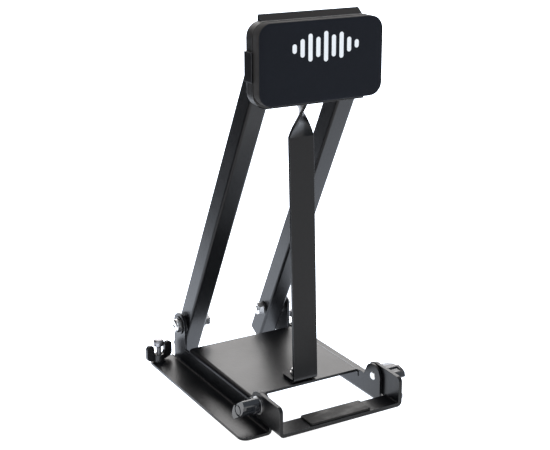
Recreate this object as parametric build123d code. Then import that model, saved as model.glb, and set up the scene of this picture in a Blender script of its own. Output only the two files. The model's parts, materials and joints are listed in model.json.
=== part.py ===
from build123d import *
import math
import os

# Fold-flat kick drum practice pad, millimetres.
# +X is the player's right, +Y points away from the player, +Z is up, floor at Z = 0.

# base sheet
SHEET = 2.5
PLATFORM_HALF = 61.4
PLATFORM_TOP = 22.3
PLATFORM_FRONT = -54.5
PLATFORM_REAR = 71.0
FLANGE_HALF = 89.5
FLANGE_FRONT = -93.0
FLANGE_REAR = 109.0
FLANGE_CORNER = 8.0
TOP_BEND = 4.5
FOOT_BEND = 4.0
RELIEF_WIDTH = 2.5
RELIEF_DEPTH = 7.0
EAR_NOTCH = 18.0

# front ears, bracket arms and wing knobs share this axis
FRONT_AXIS = (-80.0, 25.0)
FRONT_EAR_R = 12.0
STUD_R = 4.0
RUN = 0.06

# rear ears carry the leg pivots
REAR_AXIS = (92.0, 41.0)
REAR_EAR_R = 12.5
PIVOT_R = 3.0

# legs, bent channel open to the rear
LEG_LEAN = 27.6
LEG_OUTER = 56.1
LEG_WIDTH = 19.7
LEG_DEPTH = 19.0
LEG_WALL = 1.8
LEG_BEND = 2.6
LEG_TAIL = 39.0
LEG_REACH = 420.0

# pad head
PLATE_BACK = -56.0
PLATE_WALL = 2.0
HEAD_HALF = 62.0
HEAD_BOTTOM = 293.5
HEAD_TOP = 366.5
BOARD_THICK = 9.6
BOARD_CORNER = 13.0
RUBBER_THICK = 10.8
SKIN_THICK = 1.5
PAD_BOTTOM = 296.0
PAD_INSET = 0.3
PAD_CORNER = 12.0
PAD_EDGE = 1.3
LIP_HALF = 50.5
LIP_WALL = 1.6
TAB_BOTTOM = 316.0
TAB_TOP = 341.5

# strut
BAR_WIDTH = 25.4
BAR_THICK = 3.0
STRUT_FOOT_Y = -53.5
STRUT_TOP_Y = -42.0
STRUT_AXIS_Z = 306.0
TWIST_START = 258.0
TWIST_END = 292.0
TWIST_STEPS = 6
FOOT_GAP = 0.5
FOOT_END = -27.0
FOOT_BEND_R = 5.0
FOOT_SCREW_Y = -38.5
FOOT_SCREW_R = 3.0

# pedal bracket
ARM_INNER = 62.1
ARM_THICK = 3.5
ARM_BEND = 4.8
ARM_FRONT = -118.5
ARM_TOP_FRONT = 36.6
BAR_REAR = -97.6
BRACKET_BOTTOM = 8.2
ARM_R = 12.6
ARM_CORNER_R = 4.6
BLOCK_HALF = 32.0
BLOCK_THICK = 2.0

# wing knobs
KNOB_START = 67.0
KNOB_HUB_R = 7.2
KNOB_HUB_LENGTH = 5.0
KNOB_LENGTH = 19.5
WING_REACH = 14.8
WING_HALF_THICK = 6.9
END_RING_R = 5.8
STUD_DEPTH = 12.0
LEFT_KNOB_LEAN = 34.0
RIGHT_KNOB_LEAN = 98.0

# spur bolts
SPUR_X = 80.5
SPUR_Y = 102.0
SPUR_R = 2.7
SPUR_HEAD_Z = 19.3
SPUR_HEAD_R = 5.4
SPUR_HEAD_H = 6.6
NUT_BORE_R = 3.4
NUT_HUB_R = 6.0
NUT_HUB_H = 7.5
WING_SPAN = 15.0
LOBE_INNER = 6.4
LOBE_LOW = 3.5
LOBE_TOP = 19.0
LOBE_ROUND = 4.2
LOBE_THICK = 3.2
NUT_TURN = 10.0


def save(shape, node):
    solid_list = list(shape.solids())
    if len(solid_list) == 1:
        export_step(solid_list[0], f"parts/{node}.step")
    else:
        export_step(Compound(children=solid_list), f"parts/{node}.step")


def box(x0, x1, y0, y1, z0, z1):
    return Pos((x0 + x1) / 2, (y0 + y1) / 2, (z0 + z1) / 2) * Box(x1 - x0, y1 - y0, z1 - z0)


def rod_x(radius, x0, x1, y, z):
    return Pos((x0 + x1) / 2, y, z) * Rot(0, 90, 0) * Cylinder(radius, abs(x1 - x0))


def rod_z(radius, x, y, z0, z1):
    return Pos(x, y, (z0 + z1) / 2) * Cylinder(radius, z1 - z0)


def side_plate(outline, x0, x1):
    # a face drawn in (y, z), pushed along +X from x0 to x1
    return Pos(x0, 0, 0) * extrude(Plane.YZ * outline, x1 - x0)


def mirrored(shape):
    return mirror(shape, about=Plane.YZ)


def both(shape):
    return Compound(children=[shape, mirrored(shape)])


def hex_nut(across, height, bore):
    ring = extrude(RegularPolygon(across / math.sqrt(3), 6), height)
    ring = ring - Pos(0, 0, height / 2) * Cylinder(bore, height)
    rims = [ring.edges().group_by(Axis.Z)[0], ring.edges().group_by(Axis.Z)[-1]]
    outer = [e for group in rims for e in group if e.geom_type == GeomType.LINE]
    return chamfer(outer, 0.5)


# ---- base ----

def hat_profile():
    # half section of the bent sheet in (x, z), flange at the floor
    inner = PLATFORM_HALF - SHEET
    return make_face(Polyline(
        (0, PLATFORM_TOP), (PLATFORM_HALF, PLATFORM_TOP), (PLATFORM_HALF, SHEET), (FLANGE_HALF, SHEET),
        (FLANGE_HALF, 0), (inner, 0), (inner, PLATFORM_TOP - SHEET), (0, PLATFORM_TOP - SHEET), (0, PLATFORM_TOP)))


def hat_half():
    length = FLANGE_REAR - FLANGE_FRONT
    half = Pos(0, FLANGE_REAR, 0) * extrude(Plane.XZ * hat_profile(), length)
    long_edges = half.edges().filter_by(Axis.Y)
    inner = PLATFORM_HALF - SHEET

    def at(x, z):
        return [e for e in long_edges if abs(e.center().X - x) < 0.01 and abs(e.center().Z - z) < 0.01]

    half = fillet(at(PLATFORM_HALF, PLATFORM_TOP) + at(inner, 0), TOP_BEND)
    long_edges = half.edges().filter_by(Axis.Y)
    return fillet(at(inner, PLATFORM_TOP - SHEET) + at(PLATFORM_HALF, SHEET), TOP_BEND - SHEET)


def wall_outline():
    # side view of one wall with its front and rear ears, in (y, z)
    fy, fz = FRONT_AXIS
    ry, rz = REAR_AXIS
    skirt = make_face(Polyline(
        (FLANGE_FRONT + 1, 0), (fy - FRONT_EAR_R, fz), (fy + FRONT_EAR_R * 0.87, fz + FRONT_EAR_R * 0.5),
        (fy + 14.5, PLATFORM_TOP), (PLATFORM_REAR, PLATFORM_TOP), (PLATFORM_REAR, EAR_NOTCH),
        (ry - REAR_EAR_R, EAR_NOTCH), (ry - REAR_EAR_R, rz), (ry + REAR_EAR_R, rz),
        (ry + REAR_EAR_R, 0), (FLANGE_FRONT + 1, 0)))
    return skirt + Pos(fy, fz) * Circle(FRONT_EAR_R) + Pos(ry, rz) * Circle(REAR_EAR_R)


def base_half():
    inner = PLATFORM_HALF - SHEET
    sheet = hat_half()
    sheet -= box(-1, inner - 0.9, FLANGE_FRONT - 1, PLATFORM_FRONT, SHEET + 2, PLATFORM_TOP + 1)
    sheet -= box(-1, inner - 0.9, PLATFORM_REAR, FLANGE_REAR + 1, SHEET + 2, PLATFORM_TOP + 1)
    trim_z = FOOT_BEND + SHEET
    for y0, y1 in ((FLANGE_FRONT - 1, PLATFORM_FRONT), (PLATFORM_REAR, FLANGE_REAR + 1)):
        sheet -= box(inner - 1, PLATFORM_HALF + 0.01, y0, y1, trim_z, PLATFORM_TOP + 1)
    wall = side_plate(wall_outline(), inner, PLATFORM_HALF)
    wall -= box(inner - 1, PLATFORM_HALF + 1, FLANGE_FRONT - 1, FLANGE_REAR + 1, -1, trim_z)
    bent = box(inner - 1, PLATFORM_HALF + 1, PLATFORM_FRONT, PLATFORM_REAR, trim_z, PLATFORM_TOP + 1)
    sheet += wall - bent
    sheet -= box(-1, PLATFORM_HALF + 0.5, REAR_AXIS[0] + REAR_EAR_R, FLANGE_REAR + 1, -1, PLATFORM_TOP)
    slot_top = PLATFORM_TOP + 1
    sheet -= box(inner - 4, PLATFORM_HALF + 1, PLATFORM_FRONT - RELIEF_WIDTH, PLATFORM_FRONT,
                 PLATFORM_TOP - RELIEF_DEPTH, slot_top)
    sheet -= rod_x(STUD_R + RUN, inner - 1, PLATFORM_HALF + 1, *FRONT_AXIS)
    sheet -= rod_x(PIVOT_R + RUN, inner - 1, PLATFORM_HALF + 1, *REAR_AXIS)
    sheet -= rod_z(SPUR_R + RUN, SPUR_X, SPUR_Y, -1, SHEET + 1)
    corners = [e for e in sheet.edges().filter_by(Axis.Z)
               if abs(e.center().X - FLANGE_HALF) < 0.01 and e.length < SHEET + 0.1]
    return fillet(corners, FLANGE_CORNER)


def base_frame():
    half = base_half()
    whole = half + mirrored(half)
    return whole - rod_z(FOOT_SCREW_R + 0.3, 0, FOOT_SCREW_Y, 0, PLATFORM_TOP + 1)


def platform_nut():
    top = PLATFORM_TOP - SHEET
    return Pos(0, FOOT_SCREW_Y, top - 5.0) * hex_nut(10.0, 5.0, FOOT_SCREW_R + 0.3)


# ---- leg pivots ----

def pan_head(radius, height):
    # round head standing on Z = 0 with a cross recess in its top
    head = fillet(Cylinder(radius, height).edges().group_by(Axis.Z)[-1], height * 0.55)
    head = Pos(0, 0, height / 2) * head
    for turn in (0, 90):
        head -= Rot(0, 0, turn) * Pos(0, 0, height) * Box(radius * 1.05, 1.3, 3.2)
    return head


def along_x(shape, x, axis, side):
    # stand a shape built along +Z so that it points along side * X from x
    return Pos(x, axis[0], axis[1]) * Rot(0, 90 * side, 0) * shape


WASHER_T = 1.2
NUT_T = 6.4
PIVOT_NUT_ACROSS = 11.2
LEG_INNER = LEG_OUTER - LEG_WIDTH


def pivot_bolt():
    head_x = PLATFORM_HALF + WASHER_T
    end_x = LEG_INNER - 0.1 - WASHER_T - NUT_T - 1.5
    shank = rod_x(PIVOT_R, end_x, head_x, *REAR_AXIS)
    return shank + along_x(pan_head(6.9, 4.6), head_x, REAR_AXIS, 1)


def ring_x(outer, bore, x0, x1, axis):
    return rod_x(outer, x0, x1, *axis) - rod_x(bore, x0 - 1, x1 + 1, *axis)


def pivot_washers():
    outer = ring_x(9.0, PIVOT_R, PLATFORM_HALF, PLATFORM_HALF + WASHER_T, REAR_AXIS)
    x1 = LEG_INNER - 0.1
    inner = ring_x(6.8, PIVOT_R, x1 - WASHER_T, x1, REAR_AXIS)
    return Compound(children=[outer, inner, mirrored(outer), mirrored(inner)])


def pivot_spacers():
    return both(ring_x(8.6, PIVOT_R, LEG_OUTER + 0.1, PLATFORM_HALF - SHEET, REAR_AXIS))


def pivot_nuts():
    nut = along_x(hex_nut(PIVOT_NUT_ACROSS, NUT_T, PIVOT_R), LEG_INNER - 0.1 - WASHER_T - NUT_T, REAR_AXIS, 1)
    return both(nut)


# ---- leg frame ----

def leg():
    # drawn upright about its pivot, then leaned towards the player
    total = LEG_TAIL + LEG_REACH
    outside = Pos(0, 0, 0) * Rectangle(LEG_WIDTH, LEG_DEPTH)
    inside = Pos(0, LEG_WALL) * Rectangle(LEG_WIDTH - 2 * LEG_WALL, LEG_DEPTH)
    blank = Pos(0, 0, -LEG_TAIL) * extrude(outside, total)
    front = blank.edges().filter_by(Axis.Z).group_by(Axis.Y)[0]
    blank = fillet(front, LEG_BEND)
    hollow = Pos(0, 0, -LEG_TAIL - 1) * extrude(inside, total + 2)
    root = hollow.edges().filter_by(Axis.Z).group_by(Axis.Y)[0]
    channel = blank - fillet(root, LEG_BEND - LEG_WALL)
    channel -= rod_x(PIVOT_R + RUN, -LEG_WIDTH, LEG_WIDTH, 0, 0)
    placed = Pos(LEG_INNER + LEG_WIDTH / 2, *REAR_AXIS) * Rot(LEG_LEAN, 0, 0) * channel
    return placed - box(0, 100, PLATE_BACK - 400, PLATE_BACK, 200, 600)


def rounded_slab(half, z0, z1, corner, y_front, y_back):
    middle = (z0 + z1) / 2
    face = Plane.XZ * Pos(0, middle) * RectangleRounded(2 * half, z1 - z0, corner)
    return Pos(0, y_back, 0) * extrude(face, y_back - y_front)


def pad_plate():
    front = PLATE_BACK - PLATE_WALL
    plate = rounded_slab(HEAD_HALF - 0.5, HEAD_BOTTOM + 0.5, HEAD_TOP - 0.5, BOARD_CORNER, front, PLATE_BACK)
    plate += box(-LIP_HALF, LIP_HALF, front, PLATE_BACK, HEAD_BOTTOM - LIP_WALL, HEAD_TOP + 3.5)
    lip_front = front - BOARD_THICK
    plate += box(-LIP_HALF, LIP_HALF, lip_front, PLATE_BACK, HEAD_BOTTOM - LIP_WALL, HEAD_BOTTOM)
    fold = make_face(Polyline(
        (PLATE_BACK, HEAD_TOP + 4.2), (PLATE_BACK, HEAD_TOP + 2.0), (front, HEAD_TOP + 2.0),
        (front - 3.6, HEAD_TOP), (front - 5.4, HEAD_TOP), (PLATE_BACK - 0.8, HEAD_TOP + 5.0),
        (PLATE_BACK, HEAD_TOP + 4.2)))
    plate += side_plate(fold, -LIP_HALF, LIP_HALF)
    for side in (-1, 1):
        x0, x1 = sorted((side * (HEAD_HALF - 1.5), side * (HEAD_HALF + LIP_WALL)))
        plate += box(x0, x1, front, PLATE_BACK, TAB_BOTTOM, TAB_TOP)
        x0, x1 = sorted((side * HEAD_HALF, side * (HEAD_HALF + LIP_WALL)))
        plate += box(x0, x1, lip_front - 1, PLATE_BACK, TAB_BOTTOM, TAB_TOP)
    return plate


def backing_board():
    back = PLATE_BACK - PLATE_WALL
    board = rounded_slab(HEAD_HALF, HEAD_BOTTOM, HEAD_TOP, BOARD_CORNER, back - BOARD_THICK, back)
    return board


def pad_layer(y_back, thick):
    half = HEAD_HALF - PAD_INSET
    return rounded_slab(half, PAD_BOTTOM, HEAD_TOP - 0.2, PAD_CORNER, y_back - thick, y_back)


RUBBER_BACK = PLATE_BACK - PLATE_WALL - BOARD_THICK
SKIN_BACK = RUBBER_BACK - RUBBER_THICK


def strike_skin():
    skin = pad_layer(SKIN_BACK, SKIN_THICK)
    rim = skin.faces().sort_by(Axis.Y)[0].edges()
    return fillet(rim, PAD_EDGE)


BRACKET_X0 = BAR_THICK / 2 + 0.1
BRACKET_WALL = 2.5
STRUT_AXIS = (STRUT_TOP_Y, STRUT_AXIS_Z)


def strut_bracket():
    ear = side_plate(make_face(Polyline(
        (PLATE_BACK, STRUT_AXIS_Z - 11), (STRUT_TOP_Y, STRUT_AXIS_Z - 11), (STRUT_TOP_Y, STRUT_AXIS_Z + 11),
        (PLATE_BACK, STRUT_AXIS_Z + 11), (PLATE_BACK, STRUT_AXIS_Z - 11)))
        + Pos(*STRUT_AXIS) * Circle(11), BRACKET_X0, BRACKET_X0 + BRACKET_WALL)
    leaf = box(BRACKET_X0, BRACKET_X0 + 25, PLATE_BACK, PLATE_BACK + BRACKET_WALL,
               STRUT_AXIS_Z - 11, STRUT_AXIS_Z + 11)
    bracket = ear + leaf - rod_x(PIVOT_R + 0.02, 0, 20, *STRUT_AXIS)
    for z in (-6, 6):
        bracket -= rivet_hole(z)
    return bracket


RIVET_X = BRACKET_X0 + 16


def rivet_hole(dz):
    return Pos(RIVET_X, PLATE_BACK + 2, STRUT_AXIS_Z + dz) * Rot(90, 0, 0) * Cylinder(2.0, 8)


def bracket_rivets():
    rivets = []
    for dz in (-6, 6):
        middle = PLATE_BACK + BRACKET_WALL / 2
        shank = Pos(RIVET_X, middle, STRUT_AXIS_Z + dz) * Rot(90, 0, 0) * Cylinder(2.0, BRACKET_WALL)
        head = Pos(RIVET_X, PLATE_BACK + BRACKET_WALL + 0.7, STRUT_AXIS_Z + dz) * Rot(90, 0, 0)
        rivets.append(shank + head * Cylinder(3.6, 1.4))
    return Compound(children=rivets)


def strut_bolt():
    head_x = -BAR_THICK / 2 - 0.1
    shank = rod_x(PIVOT_R, head_x, BRACKET_X0 + BRACKET_WALL + NUT_T + 1.5, *STRUT_AXIS)
    return shank + along_x(pan_head(6.0, 4.0), head_x, STRUT_AXIS, -1)


def strut_nut():
    return along_x(hex_nut(PIVOT_NUT_ACROSS, NUT_T, PIVOT_R), BRACKET_X0 + BRACKET_WALL, STRUT_AXIS, 1)


# ---- strut ----

def strut_centre_y(z):
    low = PLATFORM_TOP + FOOT_GAP
    return STRUT_FOOT_Y + (STRUT_TOP_Y - STRUT_FOOT_Y) * (z - low) / (STRUT_AXIS_Z - low)


def bar_section(z, turn):
    return Pos(0, strut_centre_y(z), z) * Rot(0, 0, turn) * Rectangle(BAR_WIDTH, BAR_THICK)


def strut_twist():
    span = TWIST_END - TWIST_START
    parts = []
    for step in range(TWIST_STEPS):
        z0 = TWIST_START + span * step / TWIST_STEPS
        z1 = TWIST_START + span * (step + 1) / TWIST_STEPS
        a0 = 90.0 * step / TWIST_STEPS
        a1 = 90.0 * (step + 1) / TWIST_STEPS
        parts.append(loft([bar_section(z0, a0), bar_section(z1, a1)]))
    return parts


def support_strut():
    low = PLATFORM_TOP + FOOT_GAP
    y0 = strut_centre_y(low)
    y1 = strut_centre_y(TWIST_START)
    t = BAR_THICK
    profile = make_face(Polyline(
        (y0 - t / 2, low), (FOOT_END, low), (FOOT_END, low + t), (y0 + t / 2, low + t),
        (y1 + t / 2, TWIST_START), (y1 - t / 2, TWIST_START), (y0 - t / 2, low)))
    lower = side_plate(profile, -BAR_WIDTH / 2, BAR_WIDTH / 2)
    across = lower.edges().filter_by(Axis.X)
    outer = across.sort_by_distance((0, y0 - t / 2, low))[0]
    inner = across.sort_by_distance((0, y0 + t / 2, low + t))[0]
    lower = fillet([outer], FOOT_BEND_R)
    inner = lower.edges().filter_by(Axis.X).sort_by_distance((0, y0 + t / 2, low + t))[0]
    lower = fillet([inner], FOOT_BEND_R - t)
    tips = [e for e in lower.edges().filter_by(Axis.Z) if abs(e.center().Y - FOOT_END) < 0.01]
    lower = fillet(tips, 9.0)
    lower -= rod_z(FOOT_SCREW_R + 0.02, 0, FOOT_SCREW_Y, low - 1, low + t + 1)
    top_y = STRUT_TOP_Y
    tongue = side_plate(make_face(Polyline(
        (strut_centre_y(TWIST_END) - BAR_WIDTH / 2, TWIST_END), (strut_centre_y(TWIST_END) + BAR_WIDTH / 2, TWIST_END),
        (top_y + BAR_WIDTH / 2, STRUT_AXIS_Z), (top_y - BAR_WIDTH / 2, STRUT_AXIS_Z),
        (strut_centre_y(TWIST_END) - BAR_WIDTH / 2, TWIST_END)))
        + Pos(*STRUT_AXIS) * Circle(BAR_WIDTH / 2), -t / 2, t / 2)
    tongue -= rod_x(PIVOT_R + RUN, -5, 5, *STRUT_AXIS)
    strut = lower + tongue
    for piece in strut_twist():
        strut += piece
    return strut


def foot_screw():
    foot_top = PLATFORM_TOP + FOOT_GAP + BAR_THICK
    shank = rod_z(FOOT_SCREW_R, 0, FOOT_SCREW_Y, PLATFORM_TOP + FOOT_GAP, foot_top + WASHER_T)
    return shank + Pos(0, FOOT_SCREW_Y, foot_top + WASHER_T) * pan_head(5.6, 3.8)


def foot_washer():
    foot_top = PLATFORM_TOP + FOOT_GAP + BAR_THICK
    return (rod_z(6.6, 0, FOOT_SCREW_Y, foot_top, foot_top + WASHER_T)
            - rod_z(FOOT_SCREW_R, 0, FOOT_SCREW_Y, foot_top - 1, foot_top + 3))


# ---- pedal bracket ----

def arm_outline():
    y, z = FRONT_AXIS
    plate = make_face(Polyline(
        (ARM_FRONT, BRACKET_BOTTOM), (ARM_FRONT, ARM_TOP_FRONT), (y - 3, z + ARM_R - 0.3),
        (y + 9, z + 10), (y + 4, z - ARM_R + 2), (BAR_REAR, BRACKET_BOTTOM), (ARM_FRONT, BRACKET_BOTTOM)))
    corner = plate.vertices().sort_by_distance((ARM_FRONT, ARM_TOP_FRONT, 0))[0]
    plate = fillet([corner], ARM_CORNER_R)
    return plate + Pos(y, z) * Circle(ARM_R)


def bracket_channel():
    # the bent bar seen from the front: floor bar with two upturned arms
    outer = ARM_INNER + ARM_THICK
    tall = FRONT_AXIS[1] + ARM_R + 1 - BRACKET_BOTTOM
    inside = Pos(0, BRACKET_BOTTOM + ARM_THICK + tall / 2) * Rectangle(2 * ARM_INNER, tall)
    outside = Pos(0, BRACKET_BOTTOM + tall / 2) * Rectangle(2 * outer, tall)
    outside = fillet(outside.vertices().group_by(Axis.Y)[0], ARM_BEND)
    inside = fillet(inside.vertices().group_by(Axis.Y)[0], ARM_BEND - ARM_THICK)
    reach = FRONT_AXIS[0] + ARM_R + 1 - ARM_FRONT
    return Pos(0, ARM_FRONT + reach, 0) * extrude(Plane.XZ * (outside - inside), reach)


def pedal_bracket():
    outer = ARM_INNER + ARM_THICK
    bent = bracket_channel() & side_plate(arm_outline(), -outer, outer)
    bent -= box(-ARM_INNER, ARM_INNER, BAR_REAR, FRONT_AXIS[0] + 2 * ARM_R, 0, FRONT_AXIS[1] + 2 * ARM_R)
    for side in (-1, 1):
        bent -= rod_x(STUD_R + RUN, side * (ARM_INNER - 1), side * (outer + 1), *FRONT_AXIS)
    return bent


def clamp_pad():
    top = BRACKET_BOTTOM + ARM_THICK
    pad = box(-BLOCK_HALF, BLOCK_HALF, ARM_FRONT + 1.2, BAR_REAR + 0.6, top, top + BLOCK_THICK)
    rim = pad.faces().sort_by(Axis.Z)[-1].edges()
    return fillet(rim, 0.6)


# ---- wing knobs ----

def wing_outline():
    # an S seen along the knob's axis: two offset wings, each on its own side of the hub
    r, t = WING_REACH, WING_HALF_THICK
    half = [(-0.2 * r, t), (-0.55 * r, 0.97 * t), (-0.88 * r, 0.75 * t), (-r, 0.2 * t),
            (-0.93 * r, -0.1 * t), (-0.8 * r, -0.18 * t), (-0.4 * r, -0.55 * t)]
    points = half + [(-x, -y) for x, y in half]
    face = make_face(Polyline(*points, close=True))
    return fillet(face.vertices(), 0.9)


def end_ring():
    return Circle(END_RING_R) - Circle(END_RING_R - 1.7)


def knob_body():
    # grip drawn along +Z from the washer face at Z = 0
    hub = Cylinder(KNOB_HUB_R, KNOB_HUB_LENGTH)
    hub = Pos(0, 0, KNOB_HUB_LENGTH / 2) * chamfer(hub.edges().group_by(Axis.Z)[0], 0.8)
    start = KNOB_HUB_LENGTH - 1.5
    grip = Pos(0, 0, start) * extrude(wing_outline(), KNOB_LENGTH - start)
    body = hub + grip - Pos(0, 0, KNOB_LENGTH - 1.0) * extrude(end_ring(), 2)
    for side in (-1, 1):
        pocket = Pos(side * 0.52 * WING_REACH, -side * WING_HALF_THICK, (start + KNOB_LENGTH) / 2)
        body -= pocket * Box(7.0, 2.4, KNOB_LENGTH - start - 6.5)
    return body - Cylinder(STUD_R, 2 * STUD_DEPTH)


def knob(side, lean):
    # the wings lean forward from upright by lean degrees, seen from the knob's own end
    turn = 180.0 + lean if side > 0 else -lean
    return Pos(side * KNOB_START, *FRONT_AXIS) * Rot(0, 90 * side, 0) * Rot(0, 0, turn) * knob_body()


def knob_stud(side):
    inner = PLATFORM_HALF - SHEET - 0.6
    stud = rod_x(STUD_R, side * inner, side * (KNOB_START + STUD_DEPTH), *FRONT_AXIS)
    tips = stud.faces().sort_by_distance((0, FRONT_AXIS[0], FRONT_AXIS[1]))[0].edges()
    return chamfer(tips, 0.7)


def knob_washer(side):
    arm_outer = ARM_INNER + ARM_THICK
    x0, x1 = sorted((side * (arm_outer + 0.1), side * (KNOB_START - 0.1)))
    return ring_x(8.6, STUD_R + RUN, x0, x1, FRONT_AXIS)


# ---- spur bolts ----

def spur_bolt(side):
    shank = rod_z(SPUR_R, side * SPUR_X, SPUR_Y, 0.3, SPUR_HEAD_Z)
    tip = shank.edges().group_by(Axis.Z)[0]
    shank = chamfer(tip, 1.2)
    head = Cylinder(SPUR_HEAD_R, SPUR_HEAD_H)
    head = fillet(head.edges().group_by(Axis.Z)[-1], 2.2)
    return shank + Pos(side * SPUR_X, SPUR_Y, SPUR_HEAD_Z + SPUR_HEAD_H / 2) * head


def wing_nut_body():
    hub = Pos(0, 0, NUT_HUB_H / 2) * Cone(NUT_HUB_R, NUT_HUB_R - 1.0, NUT_HUB_H)
    inside = NUT_BORE_R + 0.6
    lobe = make_face(Polyline(
        (inside, 0.6), (NUT_HUB_R, 0.6), (WING_SPAN, LOBE_LOW), (WING_SPAN, LOBE_TOP),
        (LOBE_INNER, LOBE_TOP), (LOBE_INNER, NUT_HUB_H + 3.0), (inside, NUT_HUB_H - 1.0), (inside, 0.6)))
    far = [v for v in lobe.vertices() if v.X > WING_SPAN - 0.1 or v.Y > LOBE_TOP - 0.1]
    lobe = fillet(far, LOBE_ROUND)
    wing = Pos(0, LOBE_THICK / 2, 0) * extrude(Plane.XZ * lobe, LOBE_THICK)
    body = hub + wing + Rot(0, 0, 180) * wing
    return body - Cylinder(NUT_BORE_R, 4 * LOBE_TOP)


def spur_nut(side):
    return Pos(side * SPUR_X, SPUR_Y, SHEET + 0.1) * Rot(0, 0, -side * NUT_TURN) * wing_nut_body()


def main():
    os.makedirs("parts", exist_ok=True)
    save(base_frame(), "base_frame")
    save(platform_nut(), "platform_weld_nut")
    bolt = pivot_bolt()
    save(both(bolt), "leg_pivot_bolts")
    save(pivot_washers(), "leg_pivot_washers")
    save(pivot_spacers(), "leg_pivot_spacers")
    save(pivot_nuts(), "leg_pivot_nuts")
    right = leg()
    save(right, "right_leg")
    save(mirrored(right), "left_leg")
    save(pad_plate(), "pad_plate")
    save(backing_board(), "backing_board")
    save(pad_layer(RUBBER_BACK, RUBBER_THICK), "rubber_pad")
    save(strike_skin(), "strike_face")
    save(strut_bracket(), "strut_bracket")
    save(bracket_rivets(), "strut_bracket_rivets")
    save(strut_bolt(), "strut_pivot_bolt")
    save(strut_nut(), "strut_pivot_nut")
    save(support_strut(), "support_strut")
    save(foot_screw(), "strut_foot_screw")
    save(foot_washer(), "strut_foot_washer")
    save(pedal_bracket(), "pedal_bracket")
    save(clamp_pad(), "pedal_clamp_pad")
    for name, side, lean in (("left", -1, LEFT_KNOB_LEAN), ("right", 1, RIGHT_KNOB_LEAN)):
        save(knob(side, lean), f"{name}_knob")
        save(knob_stud(side), f"{name}_knob_stud")
        save(knob_washer(side), f"{name}_knob_washer")
        save(spur_bolt(side), f"{name}_spur_bolt")
        save(spur_nut(side), f"{name}_spur_wing_nut")


main()
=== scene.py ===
import json
import math
import bpy
from mathutils import Euler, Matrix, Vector


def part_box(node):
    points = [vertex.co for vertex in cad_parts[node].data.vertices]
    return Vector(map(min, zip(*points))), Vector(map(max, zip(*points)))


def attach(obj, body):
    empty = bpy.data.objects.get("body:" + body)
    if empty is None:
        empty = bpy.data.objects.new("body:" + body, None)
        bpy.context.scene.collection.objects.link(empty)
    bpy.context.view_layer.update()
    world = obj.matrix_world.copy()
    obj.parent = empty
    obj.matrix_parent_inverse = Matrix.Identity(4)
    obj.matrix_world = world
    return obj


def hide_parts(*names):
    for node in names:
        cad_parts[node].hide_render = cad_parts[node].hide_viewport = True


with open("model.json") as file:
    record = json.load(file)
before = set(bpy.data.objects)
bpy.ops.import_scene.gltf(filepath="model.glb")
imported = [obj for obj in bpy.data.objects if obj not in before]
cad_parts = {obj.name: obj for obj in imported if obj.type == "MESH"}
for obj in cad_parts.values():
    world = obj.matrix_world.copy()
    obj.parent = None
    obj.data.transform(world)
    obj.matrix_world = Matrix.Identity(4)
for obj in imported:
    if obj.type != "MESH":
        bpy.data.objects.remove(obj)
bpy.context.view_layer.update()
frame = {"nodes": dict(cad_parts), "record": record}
nodes = frame["nodes"]

# ---- camera ----

CAMERA_AT = (-0.540, -0.9355, 0.5021)
CAMERA_YAW = 30.41
CAMERA_DOWN = 16.86
LENS = 78.1
SHIFT = (-0.0178, -0.0218)


def make_camera():
    data = bpy.data.cameras.new("camera")
    data.lens = LENS
    data.sensor_width = 36.0
    data.shift_x, data.shift_y = SHIFT
    camera = bpy.data.objects.new("camera", data)
    bpy.context.collection.objects.link(camera)
    camera.location = CAMERA_AT
    camera.rotation_euler = Euler((math.radians(90 - CAMERA_DOWN), 0, math.radians(-CAMERA_YAW)))
    bpy.context.scene.camera = camera


make_camera()

# ---- shader tools ----


class Val:
    """A number on its way through a material's nodes."""

    def __init__(self, mat, socket):
        self.mat = mat
        self.socket = socket

    def math(self, operation, *others):
        return self.mat.node("ShaderNodeMath", {"operation": operation}, [self, *others])

    def __add__(self, other):
        return self.math("ADD", other)

    __radd__ = __add__

    def __mul__(self, other):
        return self.math("MULTIPLY", other)

    __rmul__ = __mul__

    def __sub__(self, other):
        return self.math("SUBTRACT", other)

    def __rsub__(self, other):
        return self.mat.node("ShaderNodeMath", {"operation": "SUBTRACT"}, [other, self])

    def __pow__(self, other):
        return self.math("POWER", other)

    def size(self):
        return self.math("ABSOLUTE")

    def least(self, other):
        return self.math("MINIMUM", other)

    def most(self, other):
        return self.math("MAXIMUM", other)

    def wave(self):
        return self.math("SINE")

    def step(self, low, high):
        """0 below low, 1 above high, smooth between."""
        settings = {"interpolation_type": "SMOOTHSTEP"}
        return self.mat.node("ShaderNodeMapRange", settings, {"Value": self, "From Min": low, "From Max": high})


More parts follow.
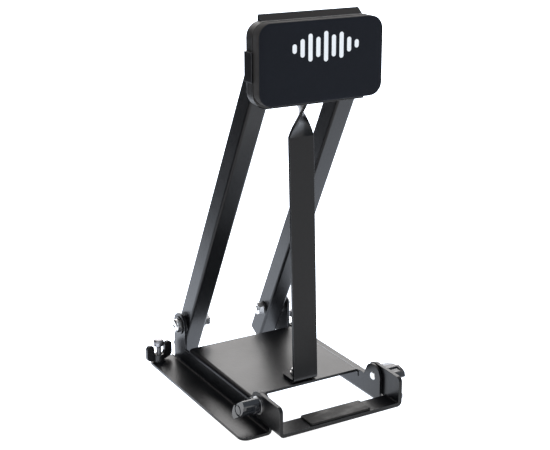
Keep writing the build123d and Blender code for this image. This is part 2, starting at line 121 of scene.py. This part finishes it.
class Finish:
    """One material, built up from nodes round a single Principled surface."""

    def __init__(self, name, **surface):
        self.material = bpy.data.materials.new(name)
        self.material.use_nodes = True
        self.tree = self.material.node_tree
        self.surface = self.tree.nodes["Principled BSDF"]
        self.set(**surface)

    def node(self, kind, settings=None, values=None, out=0):
        made = self.tree.nodes.new(kind)
        for key, value in (settings or {}).items():
            setattr(made, key, value)
        values = values or {}
        pairs = enumerate(values) if isinstance(values, list) else values.items()
        for key, value in pairs:
            self.put(made.inputs[key], value)
        return Val(self, made.outputs[out])

    def put(self, socket, value):
        if isinstance(value, Val):
            self.tree.links.new(value.socket, socket)
        else:
            socket.default_value = value

    def set(self, **surface):
        for key, value in surface.items():
            self.put(self.surface.inputs[key.replace("_", " ").replace("Ior", "IOR")], value)

    def place(self):
        """Where a point lies on the piece, in metres."""
        return self.node("ShaderNodeTexCoord", out=3)

    def axes(self):
        split = self.node("ShaderNodeSeparateXYZ", values=[self.place()])
        return [Val(self, split.socket.node.outputs[i]) for i in range(3)]

    def noise(self, per_metre, detail=3.0, rough=0.55, stretch=(1, 1, 1)):
        spot = self.node("ShaderNodeVectorMath", {"operation": "MULTIPLY"}, [self.place(), stretch])
        return self.node("ShaderNodeTexNoise", values={
            "Vector": spot, "Scale": per_metre, "Detail": detail, "Roughness": rough})

    def mix(self, factor, dark, light):
        blend = self.tree.nodes.new("ShaderNodeMix")
        blend.data_type = "RGBA"
        for index, value in ((0, factor), (6, dark), (7, light)):
            self.put(blend.inputs[index], value)
        return Val(self, blend.outputs[2])

    def rounded(self, radius):
        """A normal that turns softly across sharp edges."""
        return self.node("ShaderNodeBevel", {"samples": 6}, {"Radius": radius})

    def relief(self, height, depth, normal=None):
        values = {"Height": height, "Distance": depth, "Strength": 1.0}
        if normal is not None:
            values["Normal"] = normal
        self.set(Normal=self.node("ShaderNodeBump", values=values))

    def edge_wear_and_highlight(self, radius):
        """1 on a sharp outer edge, 0 on the flat; it drives both real edge wear and painted edge highlights."""
        soft = self.rounded(radius)
        true = self.node("ShaderNodeNewGeometry", out=1)
        turn = self.node("ShaderNodeVectorMath", {"operation": "DOT_PRODUCT"}, [soft, true], out=1)
        return (1.0 - turn).step(0.02, 0.22)


def rgb(r, g, b):
    return (r, g, b, 1.0)


# ---- finishes ----

def powder_coat():
    f = Finish("black_powder_coat", Metallic=0.0, Ior=1.36)
    cloud = f.noise(26, 4.0)
    grain = f.noise(900, 2.0)
    peel = f.noise(330, 2.0, 0.5)
    edge = f.edge_wear_and_highlight(0.0010)
    scuff = (f.noise(75, 6.0, 0.7) * edge).step(0.36, 0.62)
    # painted highlight: thin is a lighter grey line along every sharp edge, mixed into the tone below in place of
    # light caught by the edges
    thin = edge * (0.55 + cloud * 0.45)
    tone = f.mix(cloud, rgb(0.0022, 0.0022, 0.0028), rgb(0.0045, 0.0045, 0.0056))
    tone = f.mix(grain.step(0.62, 0.72) * 0.25, tone, rgb(0.02, 0.02, 0.022))
    tone = f.mix(thin * 0.5, tone, rgb(0.105, 0.110, 0.120))
    f.set(Base_Color=f.mix(scuff * 0.3, tone, rgb(0.26, 0.265, 0.28)))
    f.set(Roughness=0.25 + cloud * 0.13 + grain * 0.04 - edge * 0.06)
    f.relief(peel * 0.7 + grain * 0.3, 0.00006, f.rounded(0.0006))
    return f.material


def zinc_plate():
    f = Finish("bright_zinc", Metallic=1.0)
    cloud = f.noise(420, 4.0)
    scratch = f.noise(1500, 3.0, 0.6, (0.2, 1, 1))
    tone = f.mix(cloud, rgb(0.56, 0.56, 0.575), rgb(0.82, 0.815, 0.80))
    dirt = f.noise(160, 3.0).step(0.60, 0.75)
    f.set(Base_Color=f.mix(dirt * 0.35, tone, rgb(0.30, 0.29, 0.27)))
    f.set(Roughness=0.20 + cloud * 0.16 + scratch * 0.08)
    f.relief(cloud * 0.6 + scratch * 0.4, 0.00003, f.rounded(0.00035))
    return f.material


def dull_zinc():
    """The spurs' plating, dulled by handling."""
    f = Finish("dull_zinc", Metallic=1.0)
    cloud = f.noise(300, 5.0)
    grit = f.noise(1600, 3.0, 0.7)
    x, y, z = f.axes()
    # darker in noisy patches towards the bottom of the spur
    low_darkening = (1.0 - z.step(0.010, 0.021)) * f.noise(500, 4.0).step(0.35, 0.65)
    tone = f.mix(cloud, rgb(0.27, 0.265, 0.28), rgb(0.40, 0.395, 0.41))
    f.set(Base_Color=f.mix(low_darkening * 0.6, tone, rgb(0.10, 0.10, 0.095)))
    f.set(Roughness=0.34 + cloud * 0.16 + grit * 0.08)
    f.relief(grit, 0.00004, f.rounded(0.0003))
    return f.material


def black_oxide(name, shine):
    f = Finish(name, Metallic=0.35, Ior=1.6)
    cloud = f.noise(380, 4.0)
    wear = (f.edge_wear_and_highlight(0.0005) * f.noise(300, 4.0)).step(0.32, 0.6)
    tone = f.mix(cloud, rgb(0.010, 0.010, 0.011), rgb(0.032, 0.031, 0.031))
    f.set(Base_Color=f.mix(wear * 0.7, tone, rgb(0.24, 0.23, 0.225)))
    f.set(Roughness=shine + cloud * 0.15)
    f.relief(f.noise(1100, 3.0), 0.00004, f.rounded(0.0005))
    return f.material


def knob_plastic():
    f = Finish("gloss_moulded_plastic", Metallic=0.0, Ior=1.60)
    cloud = f.noise(120, 4.0)
    swirl = f.noise(700, 3.0, 0.6, (0.35, 1, 1))
    f.set(Base_Color=f.mix(cloud, rgb(0.013, 0.0145, 0.018), rgb(0.024, 0.027, 0.033)))
    f.set(Roughness=0.15 + cloud * 0.10 + swirl * 0.05)
    f.relief(swirl * 0.5 + cloud * 0.5, 0.00005, f.rounded(0.0006))
    return f.material


def pressed_board():
    f = Finish("satin_pressed_board", Metallic=0.0, Ior=1.5)
    x, y, z = f.axes()
    layers = (y * 2600.0).wave() * 0.5 + 0.5
    fibre = f.noise(700, 4.0, 0.6, (1, 3, 1))
    f.set(Base_Color=f.mix(layers * 0.6 + fibre * 0.4, rgb(0.003, 0.003, 0.0034), rgb(0.016, 0.015, 0.0145)))
    f.set(Roughness=0.38 + fibre * 0.2)
    f.relief(layers * 0.5 + fibre * 0.5, 0.00012, f.rounded(0.0008))
    return f.material


def gum_rubber():
    f = Finish("matt_gum_rubber", Metallic=0.0, Ior=1.5, Specular_IOR_Level=0.25, Sheen_Weight=0.05)
    cloud = f.noise(90, 5.0)
    crumb = f.noise(1300, 3.0, 0.7)
    tone = f.mix(cloud, rgb(0.008, 0.007, 0.0066), rgb(0.019, 0.017, 0.016))
    f.set(Base_Color=f.mix(crumb.step(0.5, 0.72) * 0.5, tone, rgb(0.045, 0.041, 0.039)))
    f.set(Roughness=0.72 + crumb * 0.18)
    f.relief(crumb * 0.7 + cloud * 0.3, 0.0002)
    return f.material


# the printed mark is a plain row of bars: half width, spacing and each bar's half height, in metres
MARK_AT = (0.003, 0.3435)
BAR_HALF = 0.0021
BAR_PITCH = 0.0078
BAR_HEIGHTS = (0.0040, 0.0078, 0.0118, 0.0086, 0.0130, 0.0094, 0.0112, 0.0064, 0.0036)


def printed_bars(f, x, z):
    mask = None
    for index, half in enumerate(BAR_HEIGHTS):
        centre = MARK_AT[0] + (index - (len(BAR_HEIGHTS) - 1) / 2) * BAR_PITCH
        across = (x - centre).size()
        past = ((z - MARK_AT[1]).size() - (half - BAR_HALF)).most(0.0)
        inside = (across * across + past * past) ** 0.5 - BAR_HALF
        mask = inside if mask is None else mask.least(inside)
    return 1.0 - mask.step(-0.00016, 0.00016)


def strike_cloth():
    f = Finish("coated_strike_cloth", Metallic=0.0, Ior=1.46, Specular_IOR_Level=0.14)
    x, y, z = f.axes()
    thread = 2 * math.pi / 0.00062
    weave = (x * thread).wave() * (z * thread).wave() * 0.5 + 0.5
    cloud = f.noise(45, 5.0)
    speck = f.noise(1500, 3.0, 0.7)
    smudge = f.noise(22, 4.0, 0.6, (1, 1, 2.2)).step(0.50, 0.72)
    tone = f.mix(weave * 0.45 + speck * 0.55, rgb(0.0012, 0.0019, 0.0040), rgb(0.0105, 0.0128, 0.0190))
    tone = f.mix(smudge * 0.22 + cloud * 0.10, tone, rgb(0.010, 0.0125, 0.020))
    # painted highlight: a pale line round the cloth's rounded rim, in place of light caught by the rounding
    tone = f.mix(f.edge_wear_and_highlight(0.0012) * 0.5, tone, rgb(0.045, 0.048, 0.056))
    ink = printed_bars(f, x, z)
    worn = (1.0 - speck.step(0.66, 0.78) * 0.25) * ink
    f.set(Base_Color=f.mix(worn, tone, rgb(0.84, 0.87, 0.90)))
    f.set(Roughness=0.60 + speck * 0.2 - ink * 0.12)
    f.relief(weave * 0.5 + speck * 0.5 + ink * 0.25, 0.00010)
    return f.material


def clamp_rubber():
    f = Finish("smooth_clamp_rubber", Metallic=0.0, Ior=1.36)
    cloud = f.noise(60, 5.0)
    rub = f.noise(35, 5.0, 0.65, (1, 2, 1)).step(0.44, 0.62)
    grain = f.noise(1200, 3.0)
    tone = f.mix(cloud, rgb(0.004, 0.0038, 0.0036), rgb(0.009, 0.0085, 0.008))
    f.set(Base_Color=f.mix(rub * 0.5, tone, rgb(0.020, 0.019, 0.018)))
    f.set(Roughness=0.50 + grain * 0.15 - rub * 0.1)
    f.relief(grain * 0.6 + cloud * 0.4, 0.0001, f.rounded(0.0005))
    return f.material


FINISHES = {
    "black_steel": powder_coat(),
    "zinc_steel": zinc_plate(),
    "black_washer": black_oxide("black_oxide_washer", 0.32),
    "knob_plastic": knob_plastic(),
    "black_zinc": black_oxide("black_zinc_plate", 0.24),
    "board": pressed_board(),
    "pad_rubber": gum_rubber(),
    "strike_cloth": strike_cloth(),
    "clamp_rubber": clamp_rubber(),
}


def paint_nodes():
    for part in frame["record"]["subparts"]:
        piece = nodes[part["node"]]
        finish = FINISHES[part["material_slot"]]
        if not piece.material_slots:
            piece.data.materials.append(finish)
        for held in piece.material_slots:
            held.material = finish


paint_nodes()

# ---- mesh tools ----


def new_piece(name, verts, faces, slot, smooth, finish=None):
    mesh = bpy.data.meshes.new(name)
    mesh.from_pydata(verts, [], faces)
    mesh.validate()
    mesh.materials.append(finish or FINISHES[slot])
    piece = bpy.data.objects.new(name, mesh)
    bpy.context.collection.objects.link(piece)
    mesh.shade_smooth()
    mesh.set_sharp_from_angle(angle=math.radians(smooth))
    return piece


def ring_faces(rings, count, closed_start=False, closed_end=False):
    """Quads between rings of count points each, with flat ends where asked."""
    faces = []
    for r in range(rings - 1):
        for i in range(count):
            j = (i + 1) % count
            faces.append((r * count + i, r * count + j, (r + 1) * count + j, (r + 1) * count + i))
    if closed_start:
        faces.append(tuple(reversed(range(count))))
    if closed_end:
        faces.append(tuple(range((rings - 1) * count, rings * count)))
    return faces


def rounded_outline(half_x, half_z, corner, per_corner=14):
    """Points round a rounded rectangle in (x, z), anticlockwise seen from the front."""
    points = []
    for quarter, (sx, sz) in enumerate(((1, 1), (-1, 1), (-1, -1), (1, -1))):
        for step in range(per_corner + 1):
            turn = math.radians(90 * quarter + 90 * step / per_corner)
            points.append((sx * (half_x - corner) + corner * math.cos(turn),
                           sz * (half_z - corner) + corner * math.sin(turn)))
    return points


# ---- pad ----

PAD_CORNER = 0.012
RUBBER_EDGE = 0.0010
CLOTH_FRONT_EDGE = 0.0013
CLOTH_BACK_EDGE = 0.0001
EDGE_STEPS = 5
BACK_SHARES = (0.25, 0.5, 0.75)
FRONT_SHARES = (0.9, 0.8, 0.65, 0.45, 0.25, 0.1)


def pad_rings(node, front_edge, back_edge):
    """Rings of a soft slab with rounded front and back edges."""
    low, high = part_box(node)
    cx, cz = (low[0] + high[0]) / 2, (low[2] + high[2]) / 2
    hx, hz = (high[0] - low[0]) / 2, (high[2] - low[2]) / 2
    front, back = low[1], high[1]
    rings = [(hx * share, back) for share in BACK_SHARES]
    for step in range(EDGE_STEPS + 1):
        turn = math.pi / 2 * step / EDGE_STEPS
        rings.append((hx - back_edge * (1 - math.sin(turn)), back - back_edge * (1 - math.cos(turn))))
    for step in range(EDGE_STEPS + 1):
        turn = math.pi / 2 * step / EDGE_STEPS
        rings.append((hx - front_edge * (1 - math.cos(turn)), front + front_edge * (1 - math.sin(turn))))
    rings += [(hx * share, front) for share in FRONT_SHARES]
    verts = []
    for reach, y in rings:
        shrink = hx - reach
        corner = max(PAD_CORNER - shrink, 0.0004)
        for x, z in rounded_outline(reach, max(hz - shrink, reach * hz / hx * 0.5), corner):
            verts.append((cx + x, y, cz + z))
    return verts, len(rings)


def pad_piece(name, node, slot, front_edge, back_edge):
    verts, rings = pad_rings(node, front_edge, back_edge)
    count = len(verts) // rings
    piece = new_piece(name, verts, ring_faces(rings, count, True, True), slot, 60)
    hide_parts(node)
    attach(piece, "leg_frame")
    return piece


pad_piece("pad_rubber_body", "rubber_pad", "pad_rubber", RUBBER_EDGE, RUBBER_EDGE)
pad_piece("pad_strike_face", "strike_face", "strike_cloth", CLOTH_FRONT_EDGE, CLOTH_BACK_EDGE)

# ---- clamp pad ----

CLAMP_PAD_CORNER = 0.0022
CLAMP_PAD_EDGE = 0.0007
CLAMP_PAD_INSETS = (0.0015, 0.003, 0.005)


def clamp_pad():
    """A thin rubber strip with softened edges, glued to the bracket's bar."""
    low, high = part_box("pedal_clamp_pad")
    cx, cy = (low[0] + high[0]) / 2, (low[1] + high[1]) / 2
    hx, hy = (high[0] - low[0]) / 2, (high[1] - low[1]) / 2
    rings = [(0.0, low[2]), (0.0, high[2] - CLAMP_PAD_EDGE)]
    for step in range(1, EDGE_STEPS + 1):
        turn = math.pi / 2 * step / EDGE_STEPS
        rings.append((CLAMP_PAD_EDGE * (1 - math.cos(turn)), high[2] - CLAMP_PAD_EDGE * (1 - math.sin(turn))))
    rings += [(inset, high[2]) for inset in CLAMP_PAD_INSETS]
    verts = []
    for inset, z in rings:
        corner = max(CLAMP_PAD_CORNER - inset, 0.0003)
        for x, y in rounded_outline(hx - inset, hy - inset, corner):
            verts.append((cx + x, cy + y, z))
    count = len(verts) // len(rings)
    piece = new_piece("clamp_pad_strip", verts, ring_faces(len(rings), count, True, True), "clamp_rubber", 60)
    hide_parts("pedal_clamp_pad")
    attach(piece, "bracket")


clamp_pad()

# ---- spur bolts with real threads ----

PITCH = 0.001
SPUR_R = 0.00269
HEAD_HEIGHT = 0.0066
THREAD_DEPTH = 0.00050
TIP_TAPER = 0.0012
HEAD_EDGE = 0.0026
HEAD_CHAMFER = 0.0004
TURN_POINTS = 24
ROWS_PER_PITCH = 6


def bolt_profile(low, high, shank_r, head_r, head_z):
    """(height, radius, thread share) up a bolt from its tip to the top of its head."""
    rows = [(low, shank_r - TIP_TAPER, 0.0), (low + TIP_TAPER, shank_r - 0.0002, 0.6)]
    count = int((head_z - low - 0.0016) / PITCH * ROWS_PER_PITCH)
    for step in range(1, count):
        rows.append((low + 0.0014 + step * PITCH / ROWS_PER_PITCH, shank_r, 1.0))
    rows.append((head_z, shank_r, 0.0))
    rows.append((head_z, head_r - HEAD_CHAMFER, 0.0))
    rows.append((head_z + HEAD_CHAMFER, head_r, 0.0))
    for step in range(7):
        turn = math.pi / 2 * step / 6
        rows.append((high - HEAD_EDGE + HEAD_EDGE * math.sin(turn), head_r - HEAD_EDGE * (1 - math.cos(turn)), 0.0))
    rows.append((high, head_r * 0.25, 0.0))
    return rows


def threaded_bolt(name, node, body, finish):
    low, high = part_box(node)
    cx, cy = (low[0] + high[0]) / 2, (low[1] + high[1]) / 2
    head_r = (high[0] - low[0]) / 2
    head_z = high[2] - HEAD_HEIGHT
    verts = []
    rows = bolt_profile(low[2], high[2], SPUR_R, head_r, head_z)
    for z, radius, share in rows:
        for i in range(TURN_POINTS):
            angle = 2 * math.pi * i / TURN_POINTS
            phase = (z / PITCH - i / TURN_POINTS) % 1.0
            cut = THREAD_DEPTH * share * abs(2 * phase - 1)
            verts.append((cx + (radius - cut) * math.cos(angle), cy + (radius - cut) * math.sin(angle), z))
    piece = new_piece(name, verts, ring_faces(len(rows), TURN_POINTS, True, True), "zinc_steel", 50, finish)
    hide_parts(node)
    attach(piece, body)


spur_plating = dull_zinc()
for side in ("left", "right"):
    threaded_bolt(f"{side}_threaded_spur", f"{side}_spur_bolt", f"{side}_spur", spur_plating)

# ---- floor and light ----

BACK_GLOW = 1.55
FRONT_GLOW = 0.42
TOP_GLOW = 0.80
FLOOR_GLOW = 1.0
FLOOR_GLOW_BEHIND = 2.3
FRONT_TINT = (0.82, 0.91, 1.0, 1.0)
BACK_TINT = (1.0, 0.955, 0.94, 1.0)


def stage_sheet(name, corners, finish):
    """A flat four-sided sheet that belongs to the studio, not to the part."""
    mesh = bpy.data.meshes.new(name)
    mesh.from_pydata(corners, [], [(0, 1, 2, 3)])
    mesh.materials.append(finish.material)
    sheet = bpy.data.objects.new(name, mesh)
    bpy.context.collection.objects.link(sheet)
    return sheet


def make_floor():
    """A lit white table, so that the contact shadows stay faint."""
    f = Finish("pale_floor", Roughness=0.9, Metallic=0.0)
    mottle = f.noise(3, 3.0)
    f.set(Base_Color=f.mix(mottle, rgb(0.30, 0.30, 0.30), rgb(0.34, 0.34, 0.34)))
    x, y, z = f.axes()
    behind = (x * 0.5 + y * 0.86).step(-0.11, 0.03)
    f.set(Emission_Strength=FLOOR_GLOW_BEHIND)
    near = FLOOR_GLOW / FLOOR_GLOW_BEHIND
    f.set(Emission_Color=f.mix(behind, rgb(near, near, near), rgb(0.93, 1.0, 1.12)))
    f.set(Specular_IOR_Level=0.1)
    reach = 14.0
    stage_sheet("floor", [(-reach, -reach, 0), (reach, -reach, 0), (reach, reach, 0), (-reach, reach, 0)], f)


def area_light(name, place, aim, width, height, power):
    data = bpy.data.lights.new(name, "AREA")
    data.shape = "RECTANGLE"
    data.size, data.size_y = width, height
    data.energy = power
    lamp = bpy.data.objects.new(name, data)
    bpy.context.collection.objects.link(lamp)
    lamp.location = place
    lamp.rotation_euler = (Vector(aim) - Vector(place)).to_track_quat("-Z", "Y").to_euler()


class Studio(Finish):
    """The white cove round the table: bright at the back, dim in front."""

    def __init__(self):
        self.world = bpy.data.worlds.new("studio")
        self.world.use_nodes = True
        self.tree = self.world.node_tree
        bpy.context.scene.world = self.world
        away = (0.48, 0.83, 0.28)
        where = self.node("ShaderNodeTexCoord", out=0)
        facing = self.node("ShaderNodeVectorMath", {"operation": "DOT_PRODUCT"}, [where, away], out=1)
        back = facing.step(-0.15, 0.75)
        split = self.node("ShaderNodeSeparateXYZ", values=[where])
        up = Val(self, split.socket.node.outputs[2]).step(0.35, 0.9)
        glow = (FRONT_GLOW + back * (BACK_GLOW - FRONT_GLOW)) * (1.0 - up) + up * TOP_GLOW
        self.put(self.tree.nodes["Background"].inputs["Strength"], glow)
        self.put(self.tree.nodes["Background"].inputs["Color"], self.mix(back, FRONT_TINT, BACK_TINT))


def dark_card():
    """A black card at the left that only reflections see, so that the outer faces stay black."""
    f = Finish("dark_card", Roughness=1.0)
    f.set(Base_Color=rgb(0.004, 0.004, 0.004), Specular_IOR_Level=0.0)
    x, near, far, top = -0.24, -0.05, 1.2, 0.55
    card = stage_sheet("dark_card", [(x, near, 0), (x, far, 0), (x, far, top), (x, near, top)], f)
    card.visible_camera = False
    card.visible_diffuse = False
    card.visible_shadow = False


make_floor()
dark_card()
Studio()
area_light("softbox_left", (-1.6, -0.9, 1.9), (0, 0, 0.15), 1.2, 1.2, 16)
area_light("softbox_back", (0.9, 1.9, 1.3), (0, 0, 0.1), 1.6, 1.0, 20)
bpy.context.scene.view_settings.view_transform = "Standard"
